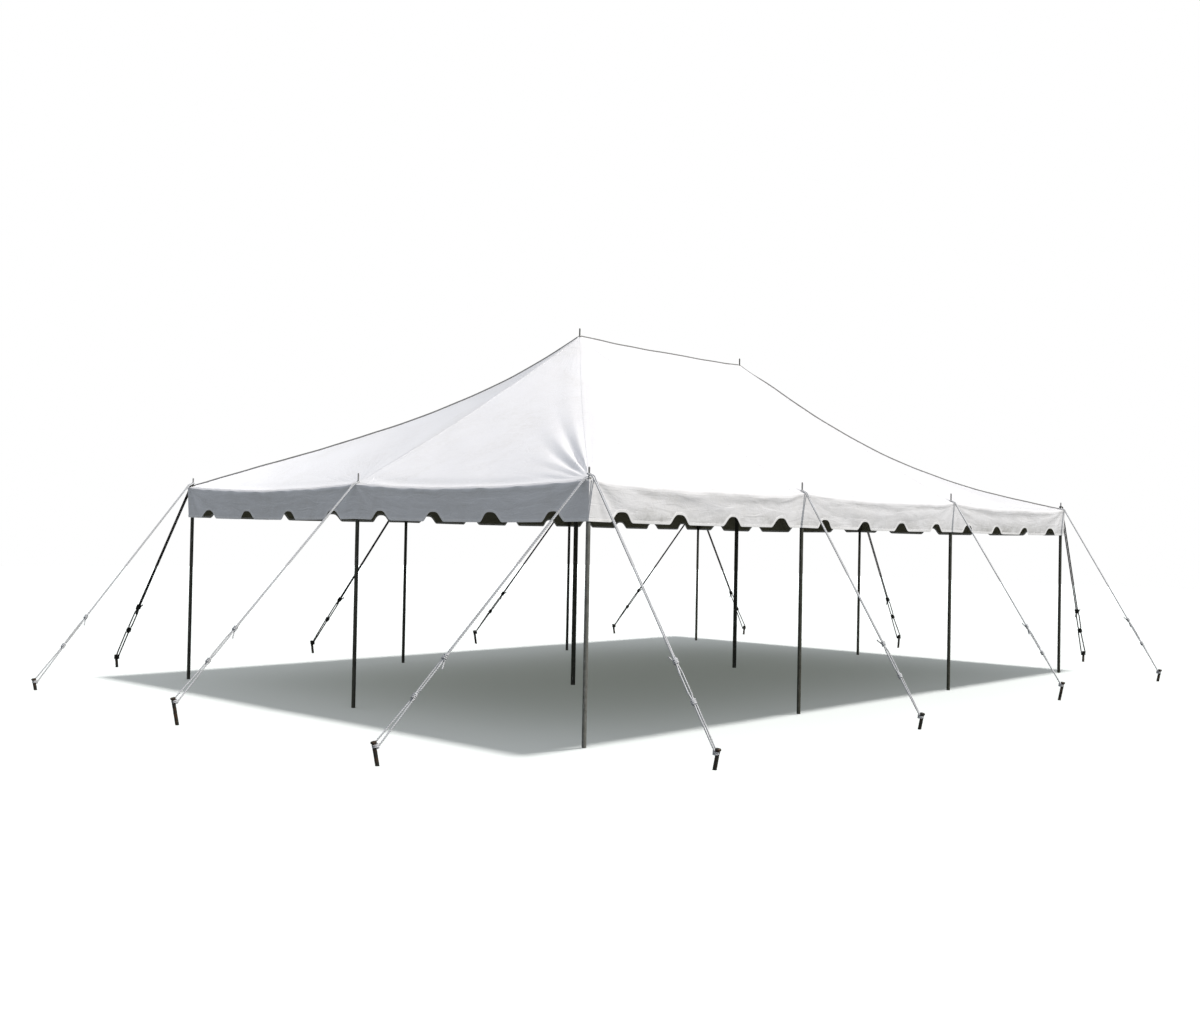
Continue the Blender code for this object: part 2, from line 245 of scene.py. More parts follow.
# The near corner's own folds, which show as long pale and dark bands on the left end of the roof:
# bearing in degrees from +X, height, reach, width at the pin and how fast it widens
NEAR_CORNER_FOLDS = (
    (47.6, 0.0160, 2.2, 0.008, 0.018),
    (50.8, -0.0500, 1.8, 0.010, 0.020),
    (54.6, 0.0190, 1.6, 0.012, 0.021),
    (58.4, -0.0380, 1.3, 0.013, 0.030),
    (64.5, 0.0110, 1.1, 0.010, 0.034),
    (69.0, -0.0050, 0.9, 0.008, 0.024),
    (74.5, 0.0045, 0.8, 0.008, 0.022),
    (79.0, -0.0055, 0.9, 0.007, 0.016),
    (84.0, 0.0045, 0.8, 0.007, 0.016),
    (43.0, -0.0050, 2.3, 0.008, 0.012),
    (38.0, 0.0060, 1.3, 0.014, 0.024),
    (31.0, -0.0060, 1.0, 0.012, 0.024),
    (22.0, 0.0050, 0.8, 0.012, 0.028),
    (12.0, -0.0045, 0.7, 0.012, 0.034),
)
CORNER_FAN = (42.0, 9)
EDGE_FAN = (80.0, 10)
PEAK_FOLDS = 12


def foot_of(node):
    """Middle of a pole in plan, in the model's frame."""
    low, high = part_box(node)
    return Vector(((low.x + high.x) / 2, (low.y + high.y) / 2))


corner_feet = [foot_of(f"side_pole_{n}") for n in ("front_left", "front_right", "back_right", "back_left")]
MIDDLE = sum(corner_feet, Vector((0.0, 0.0))) / 4
eave_pins = {n: foot_of(f"side_pole_{n}") - MIDDLE for n in EAVE_POLES}
peak_pins = {n: foot_of(f"centre_pole_{n}") - MIDDLE for n in CENTRE_POLES}
every_pin = [*eave_pins.values(), *peak_pins.values()]
POLE_X = eave_pins["front_right"].x
POLE_Y = eave_pins["back_right"].y
PEAK_X = peak_pins["right"].x
HALF_LENGTH = POLE_X + EAVE_OVERHANG
HALF_WIDTH = POLE_Y + EAVE_OVERHANG


def hollow_line(level, curved, power):
    return (1.0 - curved) * level + curved * level**power


def tension_form(x, y):
    """Height of the taut cloth over a point of the plan, before its folds."""
    long_level = 1.0 - np.abs(y) / HALF_WIDTH
    end_level = (HALF_LENGTH - np.abs(x)) / (HALF_LENGTH - PEAK_X)
    middle_bay = np.abs(x) <= PEAK_X
    on_long_side = long_level <= end_level
    level = np.clip(np.where(middle_bay, long_level, np.minimum(long_level, end_level)), 0.0, 1.0)
    run = np.maximum(HALF_WIDTH * (1.0 - level), 1e-6)
    share = np.where(on_long_side, (np.abs(x) - PEAK_X) / run, np.abs(y) / run)
    share = np.clip(np.where(middle_bay, (x + PEAK_X) / (2 * PEAK_X), share), 0.0, 1.0)
    rib = hollow_line(level, *RIB_HOLLOW)
    hip = np.where(x < 0.0, hollow_line(level, *LEFT_HIP_HOLLOW), hollow_line(level, *RIGHT_HIP_HOLLOW))
    rise = np.where(middle_bay, rib, rib + (hip - rib) * share)
    dip = np.where(on_long_side, LONG_EAVE_SAG, END_EAVE_SAG) * (1.0 - level) ** 2
    dip = np.where(middle_bay, LONG_EAVE_SAG * (1.0 - level) + RIDGE_SAG * level, dip)
    return EAVE_HEIGHT + (PEAK_HEIGHT - EAVE_HEIGHT) * rise - dip * 4.0 * share * (1.0 - share)


def pin_fold(x, y, pin, bearing, height, reach, width, widening):
    """A ridge, or with a negative height a groove, that runs out of a pin and dies away along its reach."""
    heading = math.radians(bearing)
    along = (x - pin[0]) * math.cos(heading) + (y - pin[1]) * math.sin(heading)
    across = (y - pin[1]) * math.cos(heading) - (x - pin[0]) * math.sin(heading)
    ahead = np.maximum(along, 0.0)
    start = np.clip(along / (FOLD_STARTS + FOLD_START_BY_HEIGHT * abs(height)), 0.0, 1.0)
    soft = np.exp(-((ahead / reach) ** 3)) * np.exp(-(np.abs(across / (width + widening * ahead)) ** 1.6))
    return height * start * start * (3.0 - 2.0 * start) * soft


def folds_of_roof():
    """Every fold of the canopy as (pin, bearing, height, reach, width, widening)."""
    chance = random.Random(FOLD_SEED)
    folds = [(eave_pins["front_left"], *fold) for fold in NEAR_CORNER_FOLDS]
    for name, pin in eave_pins.items():
        if name == "front_left":
            continue
        at_corner = abs(pin.x) > POLE_X - 0.01 and abs(pin.y) > POLE_Y - 0.01
        half_fan, count = CORNER_FAN if at_corner else EDGE_FAN
        inward_y = 0.0 if abs(pin.y) < 0.01 else -math.copysign(1.0, pin.y)
        inward_x = -math.copysign(1.0, pin.x) if at_corner or inward_y == 0.0 else 0.0
        inward = math.degrees(math.atan2(inward_y, inward_x))
        for step in range(count):
            bearing = inward - half_fan + 2 * half_fan * (step + chance.uniform(0.2, 0.8)) / count
            height = chance.uniform(0.0025, 0.005) * (-1) ** step
            reach = chance.uniform(0.6, 1.5)
            width = chance.uniform(0.010, 0.018)
            folds.append((pin, bearing, height, reach, width, chance.uniform(0.018, 0.03)))
    for pin in peak_pins.values():
        for step in range(PEAK_FOLDS):
            bearing = 360.0 / PEAK_FOLDS * step + chance.uniform(4.0, 26.0)
            height = chance.uniform(0.002, 0.004) * (-1) ** step
            folds.append((pin, bearing, height, chance.uniform(0.35, 0.8), 0.014, 0.05))
    return folds


ROOF_FOLDS = folds_of_roof()


def hip_crown(x, y):
    """The taut seams of the two right-hand hips stand proud of the slopes, most of all below the peak."""
    beyond = np.clip(x - PEAK_X, 0.0, None)
    down_hip = np.clip((beyond + np.abs(y)) / 2.0 / POLE_Y, 0.0, 1.0) / HIP_CROWN_AT
    aside = np.abs(beyond - np.abs(y)) / math.sqrt(2.0)
    crown = HIP_CROWN * down_hip * np.exp(1.0 - down_hip - aside / HIP_CROWN_WIDTH)
    return np.where(x > PEAK_X, crown, 0.0)


def near_hip_drop(x, y):
    """The near hip has no fin: its seam is drawn down, and the two slopes pass softly into each other."""
    beyond = np.clip(-x - PEAK_X, 0.0, None)
    beside = np.clip(-y, 0.0, None)
    down_hip = (beyond + beside) / 2.0
    share = np.clip(1.0 - down_hip / POLE_Y, 0.0, 1.0)
    width = NEAR_HIP_ROUND * np.sin(math.pi * share**1.2) + 0.0001
    aside = np.abs(beyond - beside) / math.sqrt(2.0)
    step = HIP_SLOPE_STEP / math.sqrt(2.0)
    on_hip = tension_form(-PEAK_X - down_hip, -down_hip)
    off_hip = tension_form(-PEAK_X - down_hip - step, -down_hip + step)
    drop = (on_hip - off_hip) / HIP_SLOPE_STEP * np.clip(width - aside, 0.0, None) ** 2 / (2.0 * width)
    return np.where((x < -PEAK_X) & (y < 0.0), drop, 0.0)


def eave_round(from_edge, width, drop):
    """How far the cloth falls away as it turns over into the valance."""
    into = np.clip(1.0 - from_edge / width, 0.0, 1.0)
    return drop * (1.0 - np.sqrt(np.maximum(1.0 - into**2, 0.0)))


def waves_at(x, y, waves):
    return sum(high * np.sin(by_x * x + by_y * y + phase) for high, by_x, by_y, phase in waves)


def cloth_height(x, y):
    """Height of the canopy's upper face: the taut form with waves, folds and a trough by the hem."""
    x, y = np.asarray(x, float), np.asarray(y, float)
    to_pin = np.min([np.hypot(x - pin.x, y - pin.y) for pin in every_pin], axis=0)
    loose = 1.0 - np.exp(-((to_pin / PIN_HOLDS) ** 2))
    height = tension_form(x, y) + waves_at(x, y, WAVES) * loose
    for pin, *fold in ROOF_FOLDS:
        height = height + pin_fold(x, y, pin, *fold)
    from_long_side = HALF_WIDTH - np.abs(y)
    from_end = HALF_LENGTH - np.abs(x)
    on_end = from_end < from_long_side
    near_share = np.clip(-4.0 * y / POLE_Y * (1.0 + y / POLE_Y), 0.0, 1.0) ** 0.5
    near_share = np.where((x < -PEAK_X) & on_end & (y < 0.1), near_share, 0.0)
    from_trough = np.minimum(from_long_side, from_end) - HEM_TROUGH_FROM_EDGE
    trough = np.exp(-((from_trough / HEM_TROUGH_WIDTH) ** 2))
    trough = trough * (HEM_TROUGH + (NEAR_HEM_TROUGH - HEM_TROUGH) * near_share)
    turned = np.maximum(eave_round(from_long_side, *LONG_EAVE_ROUND), eave_round(from_end, *END_EAVE_ROUND))
    turned = turned * (1.0 + waves_at(x, y, EAVE_WAVES) * np.where(on_end, *EAVE_RAGGED))
    return height + (hip_crown(x, y) - near_hip_drop(x, y) - trough - turned) * loose


def graded_steps(length, first, widest, last):
    """Places from 0 to a length, close together at both ends and wider apart between them."""
    places = [0.0]
    while places[-1] < length:
        here = places[-1]
        grow_in = first + (widest - first) * here / (0.55 * length)
        grow_out = last + (widest - last) * (length - here) / (0.45 * length)
        places.append(here + min(grow_in, grow_out, widest))
    return [place * length / places[-1] for place in places]


def from_arrays(name, points, faces, finishes, face_finish=None, face_uv=None):
    """A mesh object from arrays of points and faces, its points moved from the tent's plan to the frame."""
    moved = np.asarray(points, float) + np.array([*MIDDLE, 0.0])
    mesh = bpy.data.meshes.new(name)
    mesh.from_pydata([tuple(p) for p in moved.tolist()], [], [tuple(f) for f in faces])
    for finish in finishes:
        mesh.materials.append(finish)
    if face_finish is not None:
        mesh.polygons.foreach_set("material_index", np.asarray(face_finish, np.int32))
    if face_uv is not None:
        corners = np.zeros(len(mesh.loops), np.int32)
        mesh.loops.foreach_get("vertex_index", corners)
        uv = np.asarray(face_uv, np.float32)[corners]
        mesh.uv_layers.new(name="cloth").data.foreach_set("uv", uv.reshape(-1))
    mesh.shade_smooth()
    mesh.set_sharp_from_angle(angle=math.radians(50))
    return in_scene(name, mesh)


def maths(add, operation, *values):
    return add("ShaderNodeMath", dict(enumerate(values)), operation=operation).outputs[0]


def vectors(add, operation, *values, **scale):
    """Vector arithmetic; a length or a distance comes out as a number."""
    node = add("ShaderNodeVectorMath", {**dict(enumerate(values)), **scale}, operation=operation)
    return node.outputs["Value" if operation in ("LENGTH", "DISTANCE") else "Vector"]


def pin_creases(add, on_cloth, reach):
    """Height of fine creases out of every pin; pins lie one bay apart from the cloth's first corner."""
    half_bay = (PEAK_X, PEAK_X, 1.0)
    from_pin = vectors(add, "WRAP", on_cloth, half_bay, [-side for side in half_bay])
    pin = vectors(add, "SUBTRACT", on_cloth, from_pin)
    far = vectors(add, "LENGTH", from_pin)
    bearing = vectors(add, "NORMALIZE", from_pin)
    round_pin = vectors(add, "MULTIPLY_ADD", bearing, (5.0, 5.0, 5.0), pin)
    outward = add("ShaderNodeCombineXYZ", {"Z": far}).outputs[0]
    rough = noise(add, vectors(add, "ADD", round_pin, outward), 1.0, 3.0, 0.6)
    sharp = maths(add, "ABSOLUTE", maths(add, "SUBTRACT", rough, 0.5))
    squared = maths(add, "POWER", far, 2.0)
    fading = maths(add, "EXPONENT", maths(add, "MULTIPLY", squared, -1.0 / reach**2))
    return maths(add, "MULTIPLY", sharp, maths(add, "MULTIPLY", fading, far))


def cloth_finish(name, clean, grimed, roughness, crease_depth, wrinkles=0.0, pulled_by_pins=0.0, reach=0.5,
                 darkened_foot=None):
    """Coated polyester: threads under the coat, small creases from the bag, and blotches of grime.

    Wrinkles lie along the cloth's first direction. A darkened foot goes from a height up to another one, in a
    colour.
    """
    made, shader, add = new_finish(name)
    where = add("ShaderNodeTexCoord")
    on_cloth = where.outputs["UV"]
    in_space = where.outputs["Object"]
    stained = spread(add, noise(add, in_space, 1.3, 5.0, 0.6, 0.8), 0.42, 0.78)
    specks = noise(add, in_space, 17.0, 4.0, 0.7)
    coat = blend_colours(add, maths(add, "MULTIPLY", stained, spread(add, specks, 0.3, 0.75)), clean, grimed)
    if darkened_foot:
        # Darker towards the foot, in speckled patches that fade out upward
        low, high, foot_tone = darkened_foot
        level = add("ShaderNodeSeparateXYZ", {"Vector": in_space}).outputs["Z"]
        low_down = spread(add, level, low, high, 1.0, 0.0)
        patchy = spread(add, noise(add, in_space, 2.2, 5.0, 0.65, 0.5), 0.38, 0.62)
        speckled = maths(add, "MULTIPLY", patchy, spread(add, specks, 0.3, 0.6, 0.4, 1.0))
        coat = blend_colours(add, maths(add, "MULTIPLY", low_down, speckled), coat, foot_tone)
    warp = add("ShaderNodeTexWave", {"Vector": on_cloth, "Scale": 170.0}, bands_direction="X")
    weft = add("ShaderNodeTexWave", {"Vector": on_cloth, "Scale": 170.0}, bands_direction="Y")
    relief = bump(add, maths(add, "MAXIMUM", warp.outputs["Fac"], weft.outputs["Fac"]), 0.5, 0.00012)
    creases = spread(add, noise(add, in_space, 7.0, 5.0, 0.62, 1.6), 0.45, 0.6)
    relief = bump(add, creases, 0.6, crease_depth, relief)
    if wrinkles:
        drawn_out = add("ShaderNodeMapping", {"Vector": on_cloth, "Scale": (2.4, 13.0, 1.0)}).outputs[0]
        relief = bump(add, noise(add, drawn_out, 1.0, 3.0, 0.55, 0.9), 1.0, wrinkles, relief)
    if pulled_by_pins:
        relief = bump(add, pin_creases(add, on_cloth, reach), 1.0, pulled_by_pins, relief)
    plug(shader, {
        "Base Color": coat,
        "Roughness": spread(add, specks, 0.2, 0.8, roughness - 0.07, roughness + 0.1),
        "Specular IOR Level": 0.42,
        "Normal": relief,
    })
    return made


VINYL = {"clean": (0.86, 0.86, 0.88), "grimed": (0.74, 0.73, 0.72), "roughness": 0.42, "crease_depth": 0.0012}
vinyl_outside = cloth_finish("vinyl_outside", **VINYL, pulled_by_pins=0.035, reach=0.7)
# The inside face's dark olive is painted shade, standing in for the shade under the roof and behind the
# valance
vinyl_inside_painted_shade = cloth_finish("vinyl_inside_painted_shade", (0.38, 0.37, 0.27), (0.30, 0.29, 0.20), 0.55, 0.0012)

near_bay = graded_steps(HALF_WIDTH, *NEAR_GRID, RIB_GRID)
far_bay = graded_steps(HALF_WIDTH, *FAR_GRID, RIB_GRID)
half_middle = graded_steps(PEAK_X, RIB_GRID, FAR_GRID[1], FAR_GRID[1])
columns_x = np.array(
    [d - HALF_LENGTH for d in near_bay]
    + [d - PEAK_X for d in half_middle[1:]]
    + [PEAK_X - d for d in reversed(half_middle[:-1])]
    + [HALF_LENGTH - d for d in reversed(far_bay[:-1])]
)
rows_y = np.array([d - HALF_WIDTH for d in near_bay] + [HALF_WIDTH - d for d in reversed(far_bay[:-1])])


def roof_faces(columns, rows):
    """Triangles of a grid, each cell cut in two along the way that the nearest hip runs."""
    across = len(rows)
    upward = []
    for i in range(len(columns) - 1):
        for j in range(across - 1):
            a, b = i * across + j, (i + 1) * across + j
            c, d = b + 1, a + 1
            same_way = (columns[i] + columns[i + 1]) * (rows[j] + rows[j + 1]) > 0.0
            upward += [(a, b, c), (a, c, d)] if same_way else [(a, b, d), (b, c, d)]
    return upward


def rim_of_grid(columns, rows):
    """Point numbers round the edge of a grid, anticlockwise seen from above."""
    south = [i * rows for i in range(columns)]
    east = [(columns - 1) * rows + j for j in range(1, rows)]
    north = [i * rows + rows - 1 for i in range(columns - 2, -1, -1)]
    return south + east + north + list(range(rows - 2, 0, -1))


def closed_sheet(name, outer, inner, faces, rim, finish, uv):
    """Cloth with a thickness, between two grids of points; its rim runs anticlockwise seen from outside."""
    points = np.concatenate([outer.reshape(-1, 3), inner.reshape(-1, 3)])
    under = len(points) // 2
    inside = [tuple(under + n for n in (face[0], *face[:0:-1])) for face in faces]
    inside += [(b, a, a + under, b + under) for a, b in zip(rim, rim[1:] + rim[:1])]
    sides = [0] * len(faces) + [1] * len(inside)
    return from_arrays(name, points, faces + inside, [finish, vinyl_inside_painted_shade], sides, np.concatenate([uv, uv]))


grid_x, grid_y = np.meshgrid(columns_x, rows_y, indexing="ij")
upper = np.stack([grid_x, grid_y, cloth_height(grid_x, grid_y)], axis=-1)
canopy = closed_sheet(
    "canopy", upper, upper - np.array([0.0, 0.0, CLOTH]), roof_faces(columns_x, rows_y),
    rim_of_grid(*grid_x.shape), vinyl_outside, upper.reshape(-1, 3)[:, :2] + np.array([POLE_X, POLE_Y]),
)
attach(canopy, "root")
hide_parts("roof_front_slope", "roof_back_slope", "roof_left_end", "roof_right_end")

# Welts: where two slopes are joined, their edges are turned up together and sewn, which leaves a low fin
# of cloth along the ridge and three hips. The near hip's is pulled flat, like the tapes over the ribs.
WELT_HEIGHT = 0.014
WELT_ROUND = 0.002
WELT_THICKNESS = 0.005
WELT_STEP = 0.045
WELT_ENDS = (0.024, 0.024)
FLAT_WELT_WIDTH = 0.04
FLAT_WELT_HEIGHT = 0.0034
TAPE_WIDTH = 0.045
TAPE_PROUD = 0.0012
TAPE_ENDS = (0.02, 0.10)
SUNK_IN = 0.001
# The welts' dark grey is painted shade, standing in for the shaded line along the three hips and the ridge
welt_painted_shade = cloth_finish("welt_painted_shade", (0.20, 0.20, 0.20), (0.16, 0.16, 0.15), 0.6, 0.0004)


def skinned(name, skins, finish, joined=False, uv_from=None):
    """One piece of skins over rings of section points, each closed at its ends or joined end to end."""
    points = np.concatenate([rings.reshape(-1, 3) for rings in skins])
    faces, base = [], 0
    for stations, corners, _ in [rings.shape for rings in skins]:
        for i in range(stations if joined else stations - 1):
            here, after = base + i * corners, base + (i + 1) % stations * corners
            for j in range(corners):
                k = (j + 1) % corners
                faces.append((here + j, here + k, after + k, after + j))
        if not joined:
            faces.append(range(base + corners - 1, base - 1, -1))
            faces.append(range(base + (stations - 1) * corners, base + stations * corners))
        base += stations * corners
    uv = None if uv_from is None else points[:, :2] + np.array(uv_from)
    made = from_arrays(name, points, faces, [finish], face_uv=uv)
    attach(made, "root")
    return made


def ribbon_over_cloth(name, lines, section, finish):
    """One piece made of ribbons that follow lines of the plan; the section is in (across, above) pairs."""
    skins = []
    aside, above = np.array(section).T
    for start, end, from_start, from_end in lines:
        length = (end - start).length
        along = np.array((end - start) / length)
        stations = max(int((length - from_start - from_end) / WELT_STEP), 2) + 1
        places = np.linspace(from_start, length - from_end, stations)
        centres = np.array(start) + np.outer(places, along)
        plan = centres[:, None, :] + aside[None, :, None] * np.array([-along[1], along[0]])
        steep = np.gradient(cloth_height(*centres.T), places)
        height = cloth_height(plan[..., 0], plan[..., 1]) + np.outer(np.hypot(1.0, steep), above)
        skins.append(np.concatenate([plan, height[..., None]], axis=-1))
    skinned(name, skins, finish)


half = WELT_THICKNESS / 2
welt_section = (
    (-half, -SUNK_IN), (half, -SUNK_IN), (0.8 * half, WELT_HEIGHT - WELT_ROUND), (0.0, WELT_HEIGHT),
    (-0.8 * half, WELT_HEIGHT - WELT_ROUND),
)
standing_hips = {"back_left": "left", "front_right": "right", "back_right": "right"}
welt_lines = [(eave_pins[corner], peak_pins[peak], *WELT_ENDS) for corner, peak in standing_hips.items()]
welt_lines.append((peak_pins["left"], peak_pins["right"], *WELT_ENDS))
ribbon_over_cloth("hip_and_ridge_welts", welt_lines, welt_section, welt_painted_shade)

flat_welt_section = (
    (-FLAT_WELT_WIDTH, -SUNK_IN), (0.0, -SUNK_IN), (0.0, FLAT_WELT_HEIGHT - 0.0006),
    (-0.8 * FLAT_WELT_WIDTH, FLAT_WELT_HEIGHT), (-FLAT_WELT_WIDTH, FLAT_WELT_HEIGHT - 0.0008),
)
near_hip = [(eave_pins["front_left"], peak_pins["left"], *WELT_ENDS)]
ribbon_over_cloth("near_hip_welt", near_hip, flat_welt_section, vinyl_outside)

ribs = {
    "front_2": "left", "front_3": "right", "back_2": "left", "back_3": "right", "left_middle": "left",
    "right_middle": "right",
}
rib_lines = [(eave_pins[pole], peak_pins[peak], *TAPE_ENDS) for pole, peak in ribs.items()]
half = TAPE_WIDTH / 2
tape_section = (
    (-half, -SUNK_IN), (half, -SUNK_IN), (half, TAPE_PROUD), (0.0, TAPE_PROUD + 0.0004), (-half, TAPE_PROUD),
)
ribbon_over_cloth("rib_tapes", rib_lines, tape_section, vinyl_outside)

# Pin patches and grommets: a second layer of cloth is welded round every hole that a pin comes through,
# trimmed to the hem, and the hole is edged with a rolled metal ring.
HOLE_RADIUS = 0.009
EAVE_PATCH = 0.15
PEAK_PATCH = 0.22
PATCH_RINGS = 7
PATCH_SPOKES = 36
PATCH_PROUD = 0.0016
PATCH_TRIM = 0.03
GROMMET_SIDES = 28
# Radius and height above the cloth, up the inside and down the outside
GROMMET_SECTION = (
    (0.0092, -0.004), (0.0092, 0.0022), (0.0108, 0.0040), (0.0140, 0.0044), (0.0180, 0.0034),
    (0.0205, 0.0016), (0.0205, -0.002),
)

skins = []
angle = 2 * math.pi * np.arange(PATCH_SPOKES) / PATCH_SPOKES
above = np.repeat([PATCH_PROUD, -SUNK_IN], PATCH_RINGS + 1)
edge_x, edge_y = HALF_LENGTH - PATCH_TRIM, HALF_WIDTH - PATCH_TRIM
for pin in every_pin:
    radius = PEAK_PATCH if pin in peak_pins.values() else EAVE_PATCH
    outward = np.linspace(HOLE_RADIUS, radius, PATCH_RINGS + 1)
    reach = np.concatenate([outward, outward[::-1]])
    x = np.clip(pin.x + np.outer(np.cos(angle), reach), -edge_x, edge_x)
    y = np.clip(pin.y + np.outer(np.sin(angle), reach), -edge_y, edge_y)
    skins.append(np.stack([x, y, cloth_height(x, y) + above], axis=-1))
on_canopy = (POLE_X, POLE_Y)
pin_patches = skinned("pin_patches", skins, vinyl_outside, joined=True, uv_from=on_canopy)

grommet_zinc = steel_finish("grommet_zinc", (0.30, 0.29, 0.26), (0.5, 0.49, 0.46), 0.5, 900.0)
skins = []
angle = 2 * math.pi * np.arange(GROMMET_SIDES) / GROMMET_SIDES
reach, above = np.array(GROMMET_SECTION).T
for pin in every_pin:
    x = pin.x + np.outer(np.cos(angle), reach)
    y = pin.y + np.outer(np.sin(angle), reach)
    height = np.broadcast_to(cloth_height(pin.x, pin.y) + above, x.shape)
    skins.append(np.stack([x, y, height], axis=-1))
skinned("grommets", skins, grommet_zinc, joined=True)

# Valance: four strips of the same cloth, lapped over the canopy's hem and sewn through it, and cut along
# the foot into tabs with bell-shaped notches. Swags run from pin to pin where the hem pulls the cloth up.
VALANCE_DEPTH = 0.33
HEM_SAG_SHARE = 0.35
TAB_PITCH = POLE_X / 6
NOTCH_HEIGHT = 0.088
NOTCH_HALF_WIDTH = 0.145
NOTCH_SQUARENESS = 1.6
NOTCH_STEPS = 10
TAB_STEPS = 16
HEM_LAP = 0.028
LAP_PROUD = 0.0016
VALANCE_CLOTH = 0.0018
# The foot hangs a little inside the eave, more so in the middle of a bay, and stays outside the poles
HEM_DRAWN_IN = (0.012, 0.020)
POLE_CLEARANCE = 0.015
CALM_BY_CORNER = 0.25
SEWN_AT_CORNER = 0.035
BILLOW_STARTS = 0.03
# Waves along a strip: height and length
LONG_WAVE = (0.0042, 0.47)
SHORT_WAVE = (0.0026, 0.205)
LAP_ROWS = (-1.0, -0.6, -0.25)
VALANCE_ROWS = (0.0, 0.03, 0.07, 0.12, 0.18, 0.26, 0.35, 0.45, 0.56, 0.67, 0.78, 0.87, 0.94, 1.0)
# Swags: how far down they hang in the middle of a bay, how proud they stand, and how wide they are
SWAGS = ((0.024, 0.0060, 0.022), (0.070, -0.0060, 0.030), (0.125, 0.0045, 0.030), (0.200, -0.0035, 0.034))
SHORT_FOLDS = 6
# Long folds out of a pin: bearing from straight down, and height
LONG_FOLDS = ((72.0, 0.0060), (56.0, -0.0065), (40.0, 0.0060), (24.0, -0.0050))
MIDDLE_PIN_PULL = 0.35
# The foot of the front strip is darker, in speckled patches that fade out upward
DARKENED_FOOT = (EAVE_HEIGHT - VALANCE_DEPTH, EAVE_HEIGHT - 0.55 * VALANCE_DEPTH, (0.47, 0.47, 0.45))
VALANCE_LOOK = {**VINYL, "wrinkles": 0.006, "pulled_by_pins": 0.018, "reach": 0.5}
vinyl_valance = cloth_finish("vinyl_valance", **VALANCE_LOOK)
vinyl_darkened_foot = cloth_finish("vinyl_darkened_foot", **VALANCE_LOOK, darkened_foot=DARKENED_FOOT)


